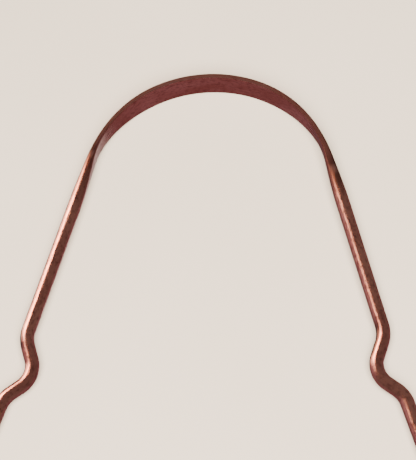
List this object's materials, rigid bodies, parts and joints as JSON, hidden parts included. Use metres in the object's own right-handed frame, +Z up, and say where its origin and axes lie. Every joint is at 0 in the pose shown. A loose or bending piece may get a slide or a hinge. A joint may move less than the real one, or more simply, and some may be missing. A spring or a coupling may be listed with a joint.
{
  "type": "tongue scraper",
  "caption": "Copper tongue scraper: a thin arched blade whose ends turn into round rod legs, each with a bent finger stop and a straight, splayed grip.",
  "frame": {"origin": "middle of the bounding box in X and Y, on the surface that the part lies on", "axes": "+Y from the grips' ends towards the crown of the arch, +Z up, square to the plane of the arch, +X to the right handle"},
  "size_m": [0.117, 0.125, 0.0068],
  "materials": {
    "blade_copper": "polished copper, faint brushing along the strip",
    "rod_copper": "polished copper"
  },
  "bodies": {
    "root": {"blade": "blade_copper", "left_handle": "rod_copper", "right_handle": "rod_copper"}
  },
  "joints": []
}
